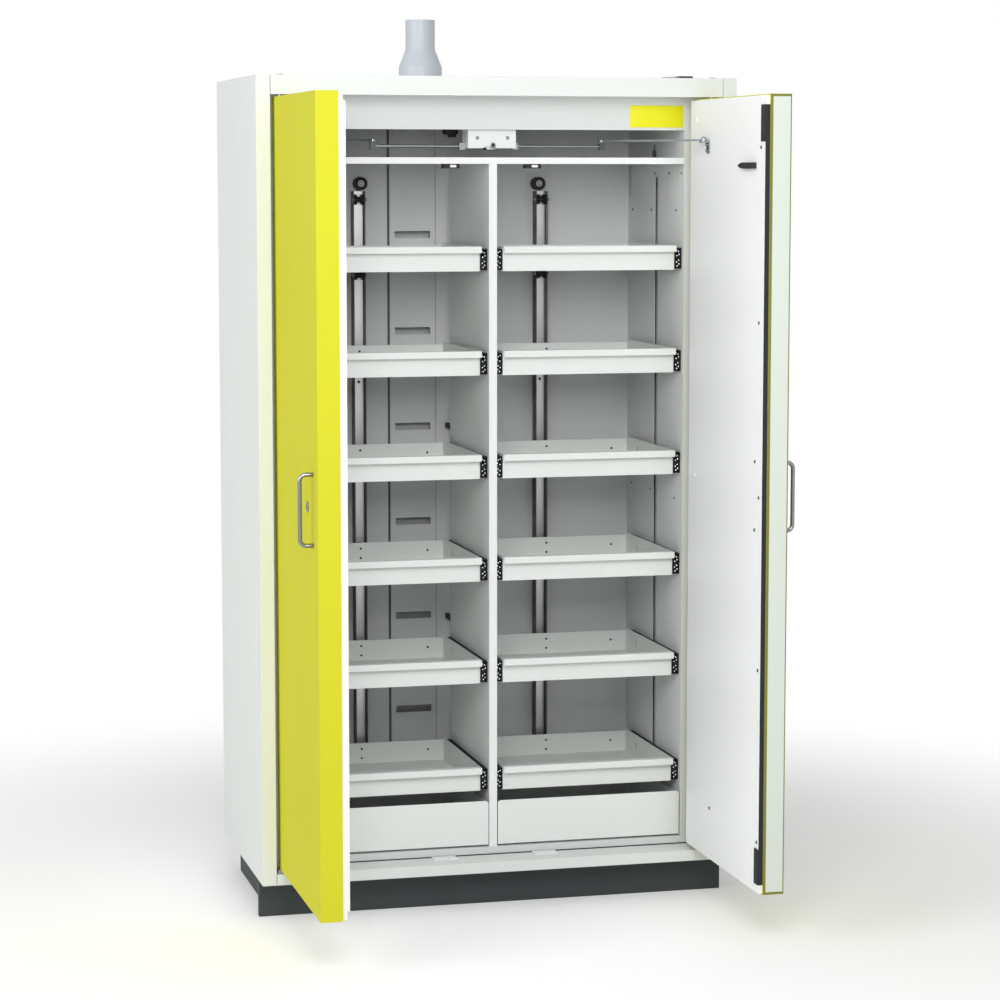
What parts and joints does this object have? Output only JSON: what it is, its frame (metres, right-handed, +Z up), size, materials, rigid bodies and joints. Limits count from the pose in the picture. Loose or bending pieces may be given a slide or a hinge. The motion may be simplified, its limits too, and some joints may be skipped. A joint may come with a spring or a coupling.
{
  "type": "fire-resistant safety cabinet",
  "caption": "Floor-standing double-door safety cabinet with yellow leaves, pull-out trays, bottom sumps, an exhaust spigot and a door closer.",
  "frame": {"origin": "on the floor, in the middle of the casing's width and depth", "axes": "+X to the right of someone facing the doors, -Y out of the doors, +Z up"},
  "size_m": [1.193, 1.1277, 2.203],
  "materials": {
    "casing": "semi-gloss powder coat",
    "door_yellow": "semi-gloss powder coat",
    "liner_white": "semi-gloss powder coat",
    "tray_paint": "satin powder coat",
    "board": "matt mineral board",
    "zinc": "zinc plated",
    "chrome": "polished",
    "black_plastic": "matt",
    "grey_plastic": "satin",
    "plinth_paint": "matt powder coat",
    "seal": "matt"
  },
  "bodies": {
    "cabinet": {"side_panels": "casing", "top_panel": "casing", "base_panel": "casing", "back_panel": "casing", "wall_insulation": "board", "inner_frame": "casing", "interior_lining": "casing", "duct_cover": "casing", "ceiling_shelf": "casing", "partition": "casing", "rear_rails": "zinc", "closer_housing": "zinc", "exhaust_spigot": "grey_plastic", "plinth": "plinth_paint", "slide_rails": "zinc", "frame_hardware": "zinc"},
    "left_door": {"left_door_skin": "door_yellow", "left_door_core": "board", "left_door_liner": "liner_white", "left_handle": "chrome"},
    "right_door": {"right_door_skin": "door_yellow", "right_door_core": "board", "right_door_liner": "liner_white", "right_handle": "chrome", "right_door_fittings": "seal"},
    "key_cylinder": {"lock_cylinder": "chrome"},
    "left_link": {"left_closer_link": "zinc"},
    "right_link": {"right_closer_link": "zinc"},
    "left_carriage": {"left_closer_carriage": "black_plastic"},
    "right_carriage": {"right_closer_carriage": "black_plastic"},
    "left_rope_pulley": {"left_pulley": "black_plastic"},
    "right_rope_pulley": {"right_pulley": "black_plastic"},
    "left_guide_wheel": {"left_wheel": "black_plastic"},
    "right_guide_wheel": {"right_wheel": "black_plastic"},
    "left_tray_1_body": {"left_tray_1": "tray_paint"},
    "left_slide_1_body": {"left_slide_1": "zinc"},
    "left_tray_2_body": {"left_tray_2": "tray_paint"},
    "left_slide_2_body": {"left_slide_2": "zinc"},
    "left_tray_3_body": {"left_tray_3": "tray_paint"},
    "left_slide_3_body": {"left_slide_3": "zinc"},
    "left_tray_4_body": {"left_tray_4": "tray_paint"},
    "left_slide_4_body": {"left_slide_4": "zinc"},
    "left_tray_5_body": {"left_tray_5": "tray_paint"},
    "left_slide_5_body": {"left_slide_5": "zinc"},
    "left_tray_6_body": {"left_tray_6": "tray_paint"},
    "left_slide_6_body": {"left_slide_6": "zinc"},
    "left_sump_body": {"left_sump": "tray_paint"},
    "right_tray_1_body": {"right_tray_1": "tray_paint"},
    "right_slide_1_body": {"right_slide_1": "zinc"},
    "right_tray_2_body": {"right_tray_2": "tray_paint"},
    "right_slide_2_body": {"right_slide_2": "zinc"},
    "right_tray_3_body": {"right_tray_3": "tray_paint"},
    "right_slide_3_body": {"right_slide_3": "zinc"},
    "right_tray_4_body": {"right_tray_4": "tray_paint"},
    "right_slide_4_body": {"right_slide_4": "zinc"},
    "right_tray_5_body": {"right_tray_5": "tray_paint"},
    "right_slide_5_body": {"right_slide_5": "zinc"},
    "right_tray_6_body": {"right_tray_6": "tray_paint"},
    "right_slide_6_body": {"right_slide_6": "zinc"},
    "right_sump_body": {"right_sump": "tray_paint"}
  },
  "joints": [
    {"name": "left_door_hinge", "type": "hinge", "parent": "cabinet", "child": "left_door", "pos_m": [-0.5376, -0.2886, 1.06375], "axis": [0, 0, -1], "range_deg": [-90, 0]},
    {"name": "right_door_hinge", "type": "hinge", "parent": "cabinet", "child": "right_door", "pos_m": [0.5376, -0.2886, 1.06375], "axis": [0, 0, 1], "range_deg": [-90, 0]},
    {"name": "key_turn", "type": "hinge", "parent": "left_door", "child": "key_cylinder", "pos_m": [-0.552, -0.6997, 1.065], "axis": [-1, 0, 0], "range_deg": [0, 90]},
    {"name": "left_link_pivot", "type": "hinge", "parent": "left_door", "child": "left_link", "pos_m": [-0.477, -0.413, 1.8924], "axis": [0, 0, 1], "range_deg": [-131.6, 0]},
    {"name": "left_carriage_travel", "type": "slide", "parent": "cabinet", "child": "left_carriage", "axis": [-1, 0, 0], "range_m": [-0.1757, 0]},
    {"name": "right_link_pivot", "type": "hinge", "parent": "right_door", "child": "right_link", "pos_m": [0.477, -0.413, 1.8924], "axis": [0, 0, -1], "range_deg": [-131.6, 0]},
    {"name": "right_carriage_travel", "type": "slide", "parent": "cabinet", "child": "right_carriage", "axis": [1, 0, 0], "range_m": [-0.1757, 0]},
    {"name": "left_tray_1_travel", "type": "slide", "parent": "cabinet", "child": "left_tray_1_body", "axis": [0, -1, 0], "range_m": [0, 0.4]},
    {"name": "left_slide_1_travel", "type": "slide", "parent": "cabinet", "child": "left_slide_1_body", "axis": [0, -1, 0], "range_m": [0, 0.2]},
    {"name": "left_tray_2_travel", "type": "slide", "parent": "cabinet", "child": "left_tray_2_body", "axis": [0, -1, 0], "range_m": [0, 0.4]},
    {"name": "left_slide_2_travel", "type": "slide", "parent": "cabinet", "child": "left_slide_2_body", "axis": [0, -1, 0], "range_m": [0, 0.2]},
    {"name": "left_tray_3_travel", "type": "slide", "parent": "cabinet", "child": "left_tray_3_body", "axis": [0, -1, 0], "range_m": [0, 0.4]},
    {"name": "left_slide_3_travel", "type": "slide", "parent": "cabinet", "child": "left_slide_3_body", "axis": [0, -1, 0], "range_m": [0, 0.2]},
    {"name": "left_tray_4_travel", "type": "slide", "parent": "cabinet", "child": "left_tray_4_body", "axis": [0, -1, 0], "range_m": [0, 0.4]},
    {"name": "left_slide_4_travel", "type": "slide", "parent": "cabinet", "child": "left_slide_4_body", "axis": [0, -1, 0], "range_m": [0, 0.2]},
    {"name": "left_tray_5_travel", "type": "slide", "parent": "cabinet", "child": "left_tray_5_body", "axis": [0, -1, 0], "range_m": [0, 0.4]},
    {"name": "left_slide_5_travel", "type": "slide", "parent": "cabinet", "child": "left_slide_5_body", "axis": [0, -1, 0], "range_m": [0, 0.2]},
    {"name": "left_tray_6_travel", "type": "slide", "parent": "cabinet", "child": "left_tray_6_body", "axis": [0, -1, 0], "range_m": [0, 0.4]},
    {"name": "left_slide_6_travel", "type": "slide", "parent": "cabinet", "child": "left_slide_6_body", "axis": [0, -1, 0], "range_m": [0, 0.2]},
    {"name": "left_sump_travel", "type": "slide", "parent": "cabinet", "child": "left_sump_body", "axis": [0, -1, 0], "range_m": [0, 0.3]},
    {"name": "left_pulley_spin", "type": "hinge", "parent": "cabinet", "child": "left_rope_pulley", "pos_m": [-0.243, 0.227, 1.749], "axis": [1, 0, 0], "continuous": true},
    {"name": "left_wheel_spin", "type": "hinge", "parent": "cabinet", "child": "left_guide_wheel", "pos_m": [-0.237, 0.255, 1.79], "axis": [0, 1, 0], "continuous": true},
    {"name": "right_tray_1_travel", "type": "slide", "parent": "cabinet", "child": "right_tray_1_body", "axis": [0, -1, 0], "range_m": [0, 0.4]},
    {"name": "right_slide_1_travel", "type": "slide", "parent": "cabinet", "child": "right_slide_1_body", "axis": [0, -1, 0], "range_m": [0, 0.2]},
    {"name": "right_tray_2_travel", "type": "slide", "parent": "cabinet", "child": "right_tray_2_body", "axis": [0, -1, 0], "range_m": [0, 0.4]},
    {"name": "right_slide_2_travel", "type": "slide", "parent": "cabinet", "child": "right_slide_2_body", "axis": [0, -1, 0], "range_m": [0, 0.2]},
    {"name": "right_tray_3_travel", "type": "slide", "parent": "cabinet", "child": "right_tray_3_body", "axis": [0, -1, 0], "range_m": [0, 0.4]},
    {"name": "right_slide_3_travel", "type": "slide", "parent": "cabinet", "child": "right_slide_3_body", "axis": [0, -1, 0], "range_m": [0, 0.2]},
    {"name": "right_tray_4_travel", "type": "slide", "parent": "cabinet", "child": "right_tray_4_body", "axis": [0, -1, 0], "range_m": [0, 0.4]},
    {"name": "right_slide_4_travel", "type": "slide", "parent": "cabinet", "child": "right_slide_4_body", "axis": [0, -1, 0], "range_m": [0, 0.2]},
    {"name": "right_tray_5_travel", "type": "slide", "parent": "cabinet", "child": "right_tray_5_body", "axis": [0, -1, 0], "range_m": [0, 0.4]},
    {"name": "right_slide_5_travel", "type": "slide", "parent": "cabinet", "child": "right_slide_5_body", "axis": [0, -1, 0], "range_m": [0, 0.2]},
    {"name": "right_tray_6_travel", "type": "slide", "parent": "cabinet", "child": "right_tray_6_body", "axis": [0, -1, 0], "range_m": [0, 0.4]},
    {"name": "right_slide_6_travel", "type": "slide", "parent": "cabinet", "child": "right_slide_6_body", "axis": [0, -1, 0], "range_m": [0, 0.2]},
    {"name": "right_sump_travel", "type": "slide", "parent": "cabinet", "child": "right_sump_body", "axis": [0, -1, 0], "range_m": [0, 0.3]},
    {"name": "right_pulley_spin", "type": "hinge", "parent": "cabinet", "child": "right_rope_pulley", "pos_m": [0.243, 0.227, 1.749], "axis": [1, 0, 0], "continuous": true},
    {"name": "right_wheel_spin", "type": "hinge", "parent": "cabinet", "child": "right_guide_wheel", "pos_m": [0.237, 0.255, 1.79], "axis": [0, 1, 0], "continuous": true}
  ],
  "couplings": [
    {"joint": "left_link_pivot", "follows": "left_door_hinge", "ratio": 1.4615},
    {"joint": "left_carriage_travel", "follows": "left_door_hinge", "m_per_rad": 0.11183},
    {"joint": "right_link_pivot", "follows": "right_door_hinge", "ratio": 1.4615},
    {"joint": "right_carriage_travel", "follows": "right_door_hinge", "m_per_rad": 0.11183},
    {"joint": "left_slide_1_travel", "follows": "left_tray_1_travel", "ratio": 0.5},
    {"joint": "left_slide_2_travel", "follows": "left_tray_2_travel", "ratio": 0.5},
    {"joint": "left_slide_3_travel", "follows": "left_tray_3_travel", "ratio": 0.5},
    {"joint": "left_slide_4_travel", "follows": "left_tray_4_travel", "ratio": 0.5},
    {"joint": "left_slide_5_travel", "follows": "left_tray_5_travel", "ratio": 0.5},
    {"joint": "left_slide_6_travel", "follows": "left_tray_6_travel", "ratio": 0.5},
    {"joint": "right_slide_1_travel", "follows": "right_tray_1_travel", "ratio": 0.5},
    {"joint": "right_slide_2_travel", "follows": "right_tray_2_travel", "ratio": 0.5},
    {"joint": "right_slide_3_travel", "follows": "right_tray_3_travel", "ratio": 0.5},
    {"joint": "right_slide_4_travel", "follows": "right_tray_4_travel", "ratio": 0.5},
    {"joint": "right_slide_5_travel", "follows": "right_tray_5_travel", "ratio": 0.5},
    {"joint": "right_slide_6_travel", "follows": "right_tray_6_travel", "ratio": 0.5}
  ]
}
